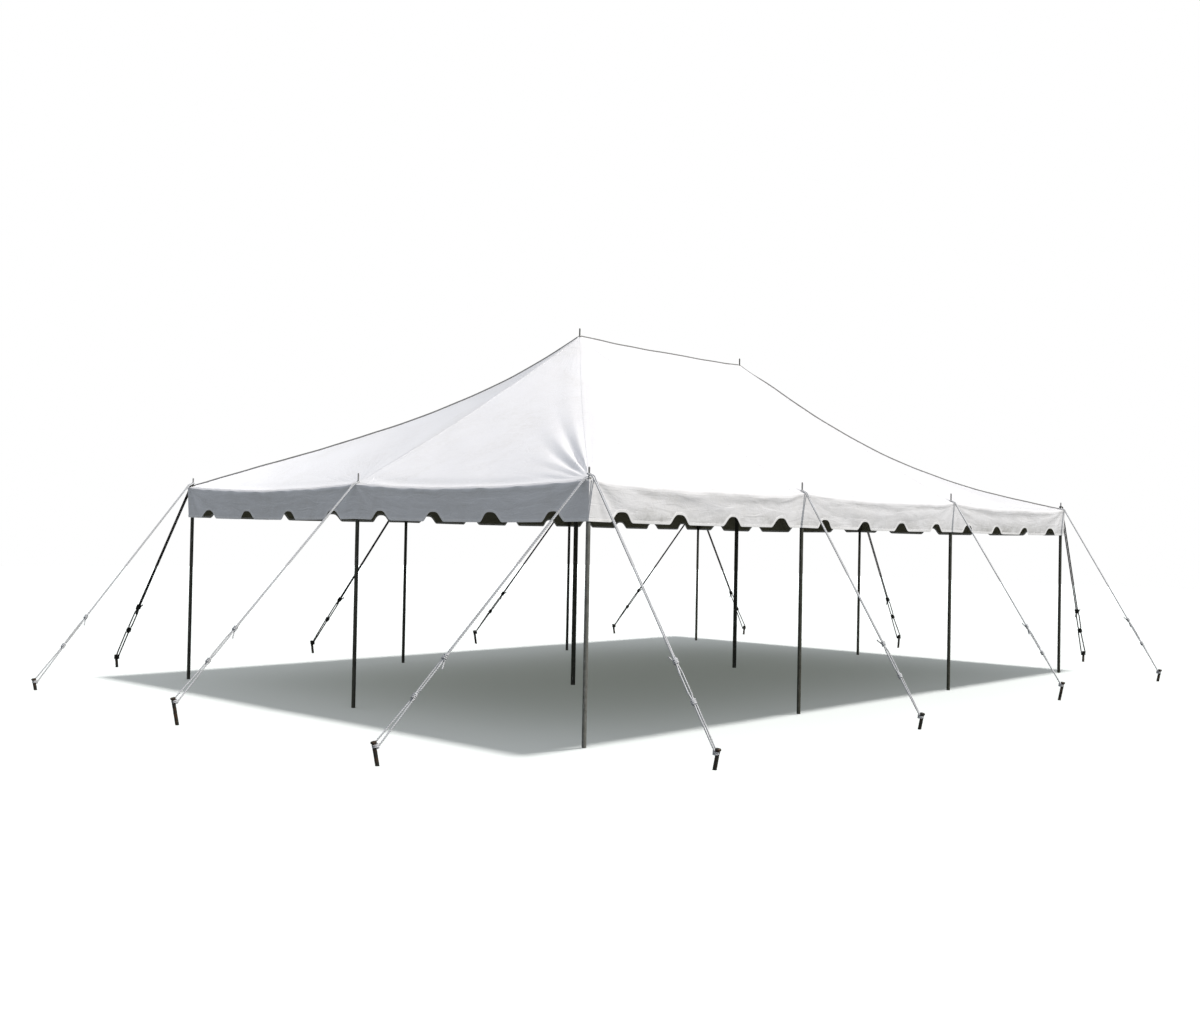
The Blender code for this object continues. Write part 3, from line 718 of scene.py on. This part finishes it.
class Side:
    """One side of the tent: where its valance runs and how slack each bay of it is."""

    def __init__(self, name, along, phase, slackness):
        self.name = name
        self.along = np.array(along, float)
        self.outward = np.array((along[1], -along[0]), float)
        self.half_run, self.half_across = (HALF_LENGTH, HALF_WIDTH) if along[0] else (HALF_WIDTH, HALF_LENGTH)
        self.half_poles = self.half_run - EAVE_OVERHANG
        self.tabs = round(2 * self.half_poles / TAB_PITCH)
        self.phase = phase
        self.slackness = np.array(slackness)
        self.pins = [
            float(np.dot(self.along, pin))
            for pin in eave_pins.values()
            if abs(float(np.dot(self.outward, pin)) - self.half_across + EAVE_OVERHANG) < 0.01
        ]
        chance = random.Random(int(10 * phase))
        pull = {run: 1.0 if abs(run) > self.half_poles - 0.01 else MIDDLE_PIN_PULL for run in self.pins}
        self.folds = [
            (run, -90.0 + way * chance.uniform(6.0, 12.0) * (n + 2),
             pull[run] * chance.uniform(0.003, 0.007) * (-1) ** n,
             chance.uniform(0.14, 0.34), 0.007, chance.uniform(0.04, 0.08))
            for run in self.pins for way in (-1, 1) for n in range(SHORT_FOLDS)
        ]
        self.folds += [
            (run, -90.0 + way * (bearing + chance.uniform(-6.0, 6.0)),
             pull[run] * height * chance.uniform(0.7, 1.3),
             chance.uniform(0.6, 1.1), 0.012, chance.uniform(0.10, 0.15))
            for run in self.pins for way in (-1, 1) for bearing, height in LONG_FOLDS
        ]

    def edge_plan(self, run, inward):
        plan = np.multiply.outer(run, self.along)
        return plan + np.multiply.outer(self.half_across - inward, self.outward)

    def hem_depth(self, run):
        """Length of the cloth down to its foot, with the notches and a share of the eave's sag."""
        edge = self.edge_plan(run, 0.0).T
        sag = EAVE_HEIGHT - tension_form(*edge)
        from_tab = (run + self.half_poles) / TAB_PITCH
        off = (from_tab - np.floor(from_tab) - 0.5) * TAB_PITCH
        share = np.clip(np.abs(off) / NOTCH_HALF_WIDTH, 0.0, 1.0)
        notch = NOTCH_HEIGHT * 0.5 * (1.0 + np.cos(np.pi * share**NOTCH_SQUARENESS))
        notch = np.where(np.abs(run) < self.half_poles, notch, 0.0)
        return cloth_height(*edge) - (EAVE_HEIGHT - VALANCE_DEPTH - HEM_SAG_SHARE * sag + notch)

    def billow(self, run, down):
        """How far the cloth stands out from the plane of the eave."""
        share_down = down / VALANCE_DEPTH
        from_corner = self.half_run - np.abs(run)
        calm = np.clip(from_corner / CALM_BY_CORNER, 0.0, 1.0)
        calm = calm * calm * (3.0 - 2.0 * calm)
        slow, quick = 2 * np.pi * run / LONG_WAVE[1], 2 * np.pi * run / SHORT_WAVE[1]
        waves = LONG_WAVE[0] * np.sin(slow + self.phase)
        waves = waves + SHORT_WAVE[0] * np.sin(quick + 2.3 * self.phase + 4.0 * share_down)
        pins = np.array(sorted(self.pins))
        bay = np.clip(np.searchsorted(pins, run) - 1, 0, len(pins) - 2)
        share = np.clip((run - pins[bay]) / (pins[bay + 1] - pins[bay]), 0.0, 1.0)
        bow = 4.0 * share * (1.0 - share)
        out = -share_down * (HEM_DRAWN_IN[0] + HEM_DRAWN_IN[1] * bow)
        out = out + calm * np.clip(share_down, 0.0, 1.2) ** 0.8 * waves
        for n, (hang, proud, wide) in enumerate(SWAGS):
            skew = 1.0 + 0.35 * np.sin(2.1 * bay + 1.7 * n + self.phase)
            uneven = 1.0 + 0.5 * np.sin(5.3 * run + 2.0 * n + self.phase) + 0.3 * np.sin(11.0 * run + n)
            middle = 0.012 + hang * skew * bow + 0.008 * np.sin(4.1 * run + 3.0 * n)
            soft = np.exp(-(((down - middle) / (wide * (0.5 + bow))) ** 2))
            out = out + proud * self.slackness[bay] * uneven * np.minimum(1.0, 3.0 * bow) * calm * soft
        sewn = np.clip(from_corner / SEWN_AT_CORNER, 0.0, 1.0)
        for pin_run, *fold in self.folds:
            out = out + sewn * pin_fold(run, -down, (pin_run, 0.015), *fold)
        to_pole = np.min([np.abs(run - pin) for pin in pins], axis=0)
        return np.maximum(out, -POLE_CLEARANCE - 0.5 * np.maximum(to_pole - 0.03, 0.0))

    def place(self, run, down, proud):
        """Points of the valance; a negative distance down lies on the canopy, inside the eave."""
        run, down = np.broadcast_arrays(np.asarray(run, float), np.asarray(down, float))
        hangs = down >= 0.0
        inward, below = np.maximum(-down, 0.0), np.maximum(down, 0.0)
        plan = self.edge_plan(run, inward)
        height = cloth_height(plan[..., 0], plan[..., 1]) - below + np.where(hangs, 0.3 * proud, proud)
        out = self.billow(run, below) * np.clip(below / BILLOW_STARTS, 0.0, 1.0) + proud
        out = np.where(hangs, out, 0.7 * proud)
        at_end = np.abs(run) > self.half_run - 1e-6
        past_end = np.where(at_end, np.where(hangs, out, -inward), 0.0) * np.sign(run)
        plan = plan + np.multiply.outer(out, self.outward) + np.multiply.outer(past_end, self.along)
        return np.concatenate([plan, height[..., None]], axis=-1)

    def columns(self):
        """Places along the side: close together in the notches, wider apart on the tabs."""
        places = {-self.half_run, self.half_run}
        flat = TAB_PITCH / 2 - NOTCH_HALF_WIDTH
        for tab in range(self.tabs):
            start = -self.half_poles + tab * TAB_PITCH
            for step in range(-NOTCH_STEPS, NOTCH_STEPS + 1):
                places.add(round(start + TAB_PITCH / 2 + NOTCH_HALF_WIDTH * step / NOTCH_STEPS, 5))
            for step in range(TAB_STEPS):
                places.add(round(start + flat * step / TAB_STEPS, 5))
                places.add(round(start + TAB_PITCH - flat * step / TAB_STEPS, 5))
        return np.array(sorted(places))


sides = [
    Side("front", (1, 0), 0.4, (0.9, 0.8, 0.7)),
    Side("back", (-1, 0), 2.9, (0.9, 0.7, 0.9)),
    Side("left", (0, -1), 1.7, (0.6, 0.2)),
    Side("right", (0, 1), 4.3, (0.6, 0.8)),
]

for side in sides:
    run = side.columns()
    lap = np.tile(HEM_LAP * np.array(LAP_ROWS), (len(run), 1))
    downs = np.concatenate([lap, side.hem_depth(run)[:, None] * np.array(VALANCE_ROWS)], axis=1)
    runs = np.broadcast_to(run[:, None], downs.shape)
    columns, rows = downs.shape
    corners = [i * rows + j for i in range(columns - 1) for j in range(rows - 1)]
    outside = [(n, n + 1, n + 1 + rows, n + rows) for n in corners]
    outer, inner = [side.place(runs, downs, proud) for proud in (LAP_PROUD, LAP_PROUD - VALANCE_CLOTH)]
    valance = closed_sheet(
        f"valance_skirt_{side.name}", outer, inner, outside, rim_of_grid(columns, rows)[::-1],
        vinyl_darkened_foot if side.name == "front" else vinyl_valance,
        np.stack([runs.ravel() + side.half_poles, downs.ravel()], axis=1),
    )
    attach(valance, "root")
    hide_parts(f"valance_{side.name}")

# Hem binding and stitches: a tape is folded over the foot of the valance, tabs and notches alike, and sewn.
# Lines of the same thread hold the lap of the valance to the canopy.
BINDING_WIDTH = 0.021
BINDING_PROUD = 0.0012
BINDING_PAST_HEM = 0.0016
# Distance into the cloth and height above its outer face, from the outer edge round to the inner one
BINDING_SECTION = (
    (BINDING_WIDTH, BINDING_PROUD),
    (0.3 * BINDING_WIDTH, 1.3 * BINDING_PROUD),
    (-BINDING_PAST_HEM, 0.2 * BINDING_PROUD),
    (-BINDING_PAST_HEM, -VALANCE_CLOTH),
    (0.3 * BINDING_WIDTH, -VALANCE_CLOTH - 1.3 * BINDING_PROUD),
    (BINDING_WIDTH, -VALANCE_CLOTH - BINDING_PROUD),
)
HEM_SEAM = 0.8 * BINDING_WIDTH
LAP_SEAMS = (-0.75 * HEM_LAP, 0.024)
STITCH_PITCH = 0.012
STITCH_LENGTH = 0.0085
STITCH_RADIUS = 0.0007
THREAD_SIDES = 5
binding_cloth = cloth_finish("binding_cloth", (0.97, 0.97, 0.98), (0.80, 0.79, 0.76), 0.5, 0.0004)
thread_white = cloth_finish("thread_white", (0.80, 0.80, 0.79), (0.68, 0.67, 0.64), 0.7, 0.0002)


def inside_hem(side, run, distance):
    """The hem's own line moved into the cloth, square to itself: (run, down) pairs."""
    down = side.hem_depth(run)
    slope = np.gradient(down, run)
    slope[[0, -1]] = 0.0
    length = np.hypot(1.0, slope)
    return run + distance * slope / length, down - distance / length


stitch_lines = []
for side in sides:
    run = side.columns()
    rings = [side.place(*inside_hem(side, run, into), LAP_PROUD + proud) for into, proud in BINDING_SECTION]
    skinned(f"hem_binding_{side.name}", [np.stack(rings, axis=1)], binding_cloth)
    stitch_lines.append(side.place(*inside_hem(side, run, HEM_SEAM), LAP_PROUD + 1.4 * BINDING_PROUD))
    stitch_lines += [side.place(run, seam, LAP_PROUD + 0.0008) for seam in LAP_SEAMS]


def route_object(name, routes):
    """A curve object that holds each route as a spline of straight runs, in the frame."""
    data = bpy.data.curves.new(name, "CURVE")
    data.dimensions = "3D"
    for route in routes:
        spline = data.splines.new("POLY")
        spline.points.add(len(route) - 1)
        places = np.asarray(route, float) + np.array([*MIDDLE, 0.0])
        spline.points.foreach_set("co", np.concatenate([places, np.ones((len(places), 1))], axis=1).ravel())
    return in_scene(name, data)


def new_node_tree(name, inputs):
    """A node group with a geometry input and output and named sizes, and a maker of nodes in it."""
    tree = bpy.data.node_groups.new(name, "GeometryNodeTree")
    tree.interface.new_socket("Geometry", in_out="INPUT", socket_type="NodeSocketGeometry")
    sizes = {n: tree.interface.new_socket(n, in_out="INPUT", socket_type="NodeSocketFloat") for n in inputs}
    tree.interface.new_socket("Geometry", in_out="OUTPUT", socket_type="NodeSocketGeometry")
    add = node_maker(tree)
    return tree, sizes, add("NodeGroupInput").outputs, add


def finish_tree(add, geometry, finish):
    """The end of every tree: instances made real, and the finish set."""
    real = add("GeometryNodeRealizeInstances", {"Geometry": geometry}).outputs["Geometry"]
    coated = add("GeometryNodeSetMaterial", {"Geometry": real, "Material": finish}).outputs["Geometry"]
    add("NodeGroupOutput", {"Geometry": coated})


def made_plain(carrier, tree, sizes, values):
    """The carrier's evaluated result as a mesh object of its own; the carrier is removed."""
    modifier = carrier.modifiers.new(tree.name, "NODES")
    modifier.node_group = tree
    for label, value in values.items():
        modifier[sizes[label].identifier] = value
    bpy.context.view_layer.update()
    evaluated = carrier.evaluated_get(bpy.context.evaluated_depsgraph_get())
    mesh = bpy.data.meshes.new_from_object(evaluated)
    name = carrier.name
    bpy.data.objects.remove(carrier)
    return in_scene(name, mesh)


def stitching_tree():
    """Short round stitches set end to end along every line of sewing."""
    tree, sizes, given, add = new_node_tree("sewing", ("Pitch", "Stitch Length", "Thread Radius"))
    seams = {"Curve": given["Geometry"], "Length": given["Pitch"]}
    spaced = add("GeometryNodeResampleCurve", seams, mode="LENGTH").outputs["Curve"]
    thread = {"Vertices": THREAD_SIDES, "Radius": given["Thread Radius"], "Depth": given["Stitch Length"]}
    stitch = add("GeometryNodeMeshCylinder", thread).outputs["Mesh"]
    tangent = add("GeometryNodeInputTangent").outputs["Tangent"]
    facing = add("FunctionNodeAlignRotationToVector", {"Vector": tangent}, axis="Z").outputs["Rotation"]
    laid = add("GeometryNodeInstanceOnPoints", {"Points": spaced, "Instance": stitch, "Rotation": facing})
    finish_tree(add, laid.outputs["Instances"], thread_white)
    return tree, sizes


stitches = made_plain(route_object("stitches", stitch_lines), *stitching_tree(), {
    "Pitch": STITCH_PITCH, "Stitch Length": STITCH_LENGTH, "Thread Radius": STITCH_RADIUS,
})
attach(stitches, "root")

# Stakes: round steel bars with upset heads, driven in so that they lean away from the tent.
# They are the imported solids, in dark forged steel with rust.
GUYS = (
    "front_left_end", "front_left_side", "front_2", "front_3", "front_right_side", "front_right_end",
    "right_middle", "back_right_end", "back_right_side", "back_3", "back_2", "back_left_side",
    "back_left_end", "left_middle",
)
FORGED = (0.028, 0.027, 0.022)
RUBBED = (0.20, 0.195, 0.18)
RUST = (0.085, 0.045, 0.022)
stake_steel = steel_finish("stake_steel", FORGED, RUBBED, 0.64, 300.0, RUST)
for name in GUYS:
    coat_solid(f"stake_{name}", stake_steel)

# Guy ropes: laid rope of three strands, doubled from the pin of its pole to its stake. The two parts are
# hitched together twice above the stake, the ends stick out of the upper hitch, and the foot of the loop
# takes turns round the stake. They are taut, and hold the tent up.
WHITE_ROPE_RADIUS = 0.0068
PAINTED_SHADE_ROPE_RADIUS = 0.0078
LAY_LENGTH = 0.062
RING_SPACING = 0.0095
RING_CORNERS = 9
STRAND_DEPTH = 0.16
GROOVE_SHADE = 0.10
PIN_RADIUS = 0.008
STAKE_RADIUS = 0.016
LOOP_BELOW_HEAD = 0.036
LOOP_ABOVE_CLOTH = 0.0098
SECOND_LOOP_RISE = 0.025
EDGE_CLEARANCE = 0.0092
PAST_EDGE = 0.006
DRAWN_IN_BELOW_EAVE = 0.08
OPEN_HALF_WIDTH = 0.0185
# Along the guy from the middle of a hitch: where the two parts lie close again, and where they are apart
ABOVE_UPPER = (0.035, 0.10)
UPPER_CLOSE, UPPER_APART = 0.03, 0.09
LOWER_CLOSE, LOWER_APART = 0.02, 0.07
# How far the two parts lie from the guy's middle in a hitch, and how far a turn climbs, in rope radii
HITCH_HALF_WIDTH = 1.15
TURN_CLIMBS = 2.05
HITCH_TURNS = 3.0
TURNS_ROUND_STAKE = 2
LOWER_HITCH_AT = 0.17
UPPER_HITCH_AT = 0.31
TAIL = 0.085
TAIL_ASIDE = 0.012
# The ropes of the back and the right end are painted dark: painted shade, standing in for the shade those
# guys are in
PAINTED_SHADE_GUYS = (
    "front_right_end", "right_middle", "back_right_end", "back_right_side", "back_3", "back_2",
    "back_left_side",
)


def rope_finish(name, clean, grimed):
    """Laid polypropylene: fine fibres run with the lay, and the grooves between the strands are painted dark
    as shade.
    """
    made, shader, add = new_finish(name)
    where = add("ShaderNodeTexCoord").outputs["Object"]
    soiled = spread(add, noise(add, where, 9.0, 4.0, 0.6), 0.4, 0.75)
    on_strand = blend_colours(add, soiled, clean, grimed)
    crest = add("ShaderNodeAttribute", attribute_name="crest").outputs["Fac"]
    # Painted shade: the grooves between the strands are darkened
    in_groove = spread(add, crest, 0.1, -0.75)
    plug(shader, {
        "Base Color": blend_colours(add, in_groove, on_strand, [GROOVE_SHADE * c for c in grimed]),
        "Roughness": 0.72,
        "Normal": bump(add, noise(add, where, 900.0, 2.0, 0.6), 0.5, 0.0005),
    })
    return made


rope_white = rope_finish("rope_white", (0.90, 0.92, 0.96), (0.78, 0.79, 0.80))
# Painted shade: this dark rope stands in for the shade that the back and right-end guys are in
rope_painted_shade = rope_finish("rope_painted_shade", (0.038, 0.038, 0.030), (0.022, 0.022, 0.017))


def rope_tree(name, finish):
    """A rope along every route: a three-lobed section that turns with the lay."""
    tree, sizes, given, add = new_node_tree(name, ("Radius", "Lay Length", "Ring Spacing", "Strand Depth"))
    route = {"Curve": given["Geometry"], "Length": given["Ring Spacing"]}
    spaced = add("GeometryNodeResampleCurve", route, mode="LENGTH").outputs["Curve"]
    run = add("GeometryNodeSplineParameter").outputs["Length"]
    tilt = maths(add, "MULTIPLY", maths(add, "DIVIDE", run, given["Lay Length"]), 2 * math.pi)
    twisted = add("GeometryNodeSetCurveTilt", {"Curve": spaced, "Tilt": tilt}).outputs["Curve"]
    circle = {"Resolution": RING_CORNERS, "Radius": given["Radius"]}
    section = add("GeometryNodeCurvePrimitiveCircle", circle, mode="RADIUS").outputs["Curve"]
    corner = add("GeometryNodeInputIndex").outputs["Index"]
    crest = maths(add, "COSINE", maths(add, "MULTIPLY", corner, 2 * math.pi / 3))
    depth = maths(add, "MULTIPLY_ADD", crest, given["Strand Depth"], 1.0)
    spot = add("GeometryNodeInputPosition").outputs["Position"]
    crests = {"Geometry": section, "Name": "crest", "Value": crest}
    marked = add("GeometryNodeStoreNamedAttribute", crests, data_type="FLOAT", domain="POINT")
    moved = {"Geometry": marked.outputs["Geometry"], "Position": vectors(add, "SCALE", spot, Scale=depth)}
    lobed = add("GeometryNodeSetPosition", moved).outputs["Geometry"]
    skin = add("GeometryNodeCurveToMesh", {"Curve": twisted, "Profile Curve": lobed, "Fill Caps": True})
    smooth = add("GeometryNodeSetShadeSmooth", {"Geometry": skin.outputs["Mesh"], "Shade Smooth": True})
    finish_tree(add, smooth.outputs["Geometry"], finish)
    return tree, sizes


def stake_line(name):
    """Foot and head of a stake's axis, in the tent's plan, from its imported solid."""
    places = np.array([v.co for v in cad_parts[f"stake_{name}"].data.vertices])
    level = places[:, 2]
    low = places[level < level.min() + 0.002]
    high = places[level > level.max() - 0.004]
    foot = Vector((*(low.min(axis=0) + low.max(axis=0))[:2] / 2, 0.0))
    middle = Vector((*MIDDLE, 0.0))
    return foot - middle, Vector(high.mean(axis=0).tolist()) - middle


def turns_of_rope(centre, first, second, from_angle, angle, steps, climb):
    """Points of a coil: first and second are its half axes, and it climbs evenly past its centre."""
    points = []
    for n in range(steps + 1):
        at = from_angle + angle * n / steps
        points.append(centre + climb * (n / steps - 0.5) + first * math.cos(at) + second * math.sin(at))
    return points


def guy_route(name, pole, second, radius):
    """The rope from its one end to the other: tail, upper hitch, pin, stake, lower hitch and tail."""
    pin = eave_pins[pole]
    foot, head = stake_line(name)
    axis = (head - foot).normalized()
    away = Vector((foot.x - pin.x, foot.y - pin.y, 0.0)).normalized()
    across = Vector((-away.y, away.x, 0.0))
    lift = SECOND_LOOP_RISE if second else 0.0
    at_pin = Vector((pin.x, pin.y, float(tension_form(pin.x, pin.y)) + LOOP_ABOVE_CLOTH + lift))
    past = EAVE_OVERHANG / max(abs(away.x), abs(away.y)) + PAST_EDGE
    over_edge = Vector((pin.x, pin.y, EAVE_HEIGHT + EDGE_CLEARANCE + lift)) + away * past
    at_stake = head - axis * LOOP_BELOW_HEAD
    up_line = (over_edge - at_stake).normalized()
    reach = (over_edge - at_stake).length
    upper = at_stake + up_line * (UPPER_HITCH_AT * reach)
    lower = at_stake + up_line * (LOWER_HITCH_AT * reach)
    droop = up_line.cross(across)
    droop = droop if droop.z < 0.0 else -droop
    level = axis.cross(across).normalized()
    level = -level if level.dot(away) < 0.0 else level
    snug, wide = HITCH_HALF_WIDTH * radius, OPEN_HALF_WIDTH
    pin_bend, stake_bend = PIN_RADIUS + radius, STAKE_RADIUS + radius

    def by(place, up, aside=0.0, down=0.0):
        return place + up_line * up + across * aside + droop * down

    def hitch(centre):
        """Turns of rope laid round both parts of the guy, as a flat coil."""
        first = across * ((HITCH_HALF_WIDTH + 2.0) * radius)
        deep = up_line.cross(across) * (2 * radius + 0.0004)
        climb = up_line * (HITCH_TURNS * TURN_CLIMBS * radius)
        angle = 2 * math.pi * HITCH_TURNS
        return turns_of_rope(centre, first, deep, 0.0, angle, int(8 * HITCH_TURNS), climb)

    chance = random.Random(name)
    tail_one = by(upper, -TAIL, chance.uniform(0.015, 0.04), 0.03)
    tail_two = by(upper, 0.6 * TAIL, -chance.uniform(0.02, 0.05), 0.02)
    route = [tail_one, by(upper, -UPPER_CLOSE, TAIL_ASIDE, TAIL_ASIDE), *hitch(upper)]
    route += [by(upper, up, snug) for up in ABOVE_UPPER]
    route.append(by(over_edge, -DRAWN_IN_BELOW_EAVE, snug))
    route.append(over_edge + across * pin_bend)
    route += turns_of_rope(at_pin, across * pin_bend, away * -pin_bend, 0.0, math.pi, 8, Vector())
    route.append(over_edge - across * pin_bend)
    route += [by(over_edge, -DRAWN_IN_BELOW_EAVE, -snug), by(upper, ABOVE_UPPER[1], -snug)]
    route += [by(upper, -UPPER_CLOSE, -snug), by(upper, -UPPER_APART, -wide)]
    route += [by(lower, LOWER_APART, -wide), by(lower, LOWER_CLOSE, -snug), by(lower, -LOWER_CLOSE, -snug)]
    turns = 0.5 + TURNS_ROUND_STAKE
    route += turns_of_rope(
        at_stake, across * stake_bend, level * stake_bend, math.pi, 2 * math.pi * turns, int(10 * turns),
        axis * (-2.1 * radius * TURNS_ROUND_STAKE),
    )
    route += [*hitch(lower), by(lower, LOWER_CLOSE + 0.005, snug), by(lower, LOWER_APART, wide)]
    route += [by(upper, -UPPER_APART, wide), by(upper, -UPPER_CLOSE, snug)]
    route += [by(upper, 0.0, 0.0, TAIL_ASIDE), tail_two]
    return [tuple(point) for point in route]


white_rope = (WHITE_ROPE_RADIUS, *rope_tree("laid_rope_white", rope_white))
painted_shade_rope = (PAINTED_SHADE_ROPE_RADIUS, *rope_tree("laid_rope_painted_shade", rope_painted_shade))
roped = set()
for name in GUYS:
    pole = name.removesuffix("_end").removesuffix("_side")
    radius, tree, sizes = painted_shade_rope if name in PAINTED_SHADE_GUYS else white_rope
    carrier = route_object(f"guy_rope_{name}", [guy_route(name, pole, pole in roped, radius)])
    guy = made_plain(carrier, tree, sizes, {
        "Radius": radius,
        "Lay Length": LAY_LENGTH,
        "Ring Spacing": RING_SPACING,
        "Strand Depth": STRAND_DEPTH,
    })
    roped.add(pole)
    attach(guy, "root")
    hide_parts(f"guy_{name}")


# Floor, lights and background: a pale floor under a white sky. A sun high on the front side lights the
# tent, and a lamp above draws its shadow, a little larger than the plan. The floor grows paler away from
# the lamp by as much as the slanting light weakens.
FLOOR_LAMP = (1.2, -4.0, 22.0)
FLOOR_REACH = 40.0
FLOOR_SEEN = (0.62, 0.63, 0.61)
FLOOR_GLOW = (0.10, 0.10, 0.096)
HORIZON = (0.305, 0.355, 0.39)
ZENITH = (0.55, 0.555, 0.61)
WHITE = (1.0, 1.0, 1.0)
SUNLIGHT = (1.0, 0.955, 0.89)
FLOOR_LIGHT = (0.94, 1.0, 0.92)
floor_mesh = bpy.data.meshes.new("floor")
floor_corners = [(FLOOR_REACH * x, FLOOR_REACH * y, 0.0) for x, y in ((-1, -1), (1, -1), (1, 1), (-1, 1))]
floor_mesh.from_pydata(floor_corners, [], [(0, 1, 2, 3)])
floor = in_scene("floor", floor_mesh)
floor_finish, shader, add = new_finish("floor_pale")
seen = add("ShaderNodeLightPath").outputs["Is Camera Ray"]
from_lamp = vectors(add, "DISTANCE", add("ShaderNodeTexCoord").outputs["Object"], FLOOR_LAMP)
grey = vectors(add, "SCALE", FLOOR_SEEN, Scale=maths(add, "DIVIDE", from_lamp, FLOOR_LAMP[2]))
floor_colour = blend_colours(add, seen, FLOOR_GLOW, grey)
plug(shader, {"Base Color": floor_colour, "Roughness": 0.9, "Specular IOR Level": 0.0})
floor_mesh.materials.append(floor_finish)
floor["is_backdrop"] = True

world = bpy.data.worlds.new("white_sky")
world.use_nodes = True
bpy.context.scene.world = world
add = node_maker(world.node_tree)
towards = add("ShaderNodeTexCoord").outputs["Generated"]
level = add("ShaderNodeSeparateXYZ", {"Vector": towards}).outputs["Z"]
sky = blend_colours(add, level, HORIZON, ZENITH)
behind = blend_colours(add, add("ShaderNodeLightPath").outputs["Is Camera Ray"], sky, WHITE)
plug(world.node_tree.nodes["Background"], {"Color": behind, "Strength": 1.0})
bpy.context.scene.view_settings.view_transform = "Standard"


def light(name, kind, strength, colour, lit, shading=None, **settings):
    """A light over some things only; where shading is given, only those things cast its shadows."""
    made = in_scene(name, bpy.data.lights.new(name, kind))
    made.data.energy = strength
    made.data.color = colour
    for key, value in settings.items():
        setattr(made.data, key, value)
    linking = made.light_linking
    linking.receiver_collection = bpy.data.collections.new(f"lit_by_{name}")
    for thing in lit:
        linking.receiver_collection.objects.link(thing)
    if shading is not None:
        linking.blocker_collection = bpy.data.collections.new(f"shading_{name}")
        for thing in shading:
            linking.blocker_collection.objects.link(thing)
    return made


def from_afar(x, y, z):
    """Turn of a sun whose light comes from the given side."""
    return Vector((x, y, z)).to_track_quat("Z", "Y").to_euler()


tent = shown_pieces()
without_ropes = [thing for thing in tent if "guy_" not in thing.name and "stake_" not in thing.name]
front_sun = light("front_sun", "SUN", 3.10, SUNLIGHT, tent, angle=math.radians(0.7))
front_sun.rotation_euler = from_afar(0.22, -0.66, 0.72)
floor_lamp = light("floor_lamp", "POINT", 43.0, WHITE, [floor], without_ropes, shadow_soft_size=1.1)
floor_lamp.location = FLOOR_LAMP
floor_lamp.data.use_nodes = True
add = node_maker(floor_lamp.data.node_tree)
steady = add("ShaderNodeLightFalloff", {"Strength": 1.0}).outputs["Constant"]
plug(floor_lamp.data.node_tree.nodes["Emission"], {"Strength": steady})
floor_fill = light("floor_fill", "SUN", 0.6, FLOOR_LIGHT, [floor], [floor], angle=math.radians(9.0))
floor_fill.rotation_euler = from_afar(0.0, 0.0, 1.0)
left_glow = light("left_glow", "POINT", 260.0, WHITE, [canopy, pin_patches], shadow_soft_size=1.0)
left_glow.location = (-6.5, 4.3, 4.5)
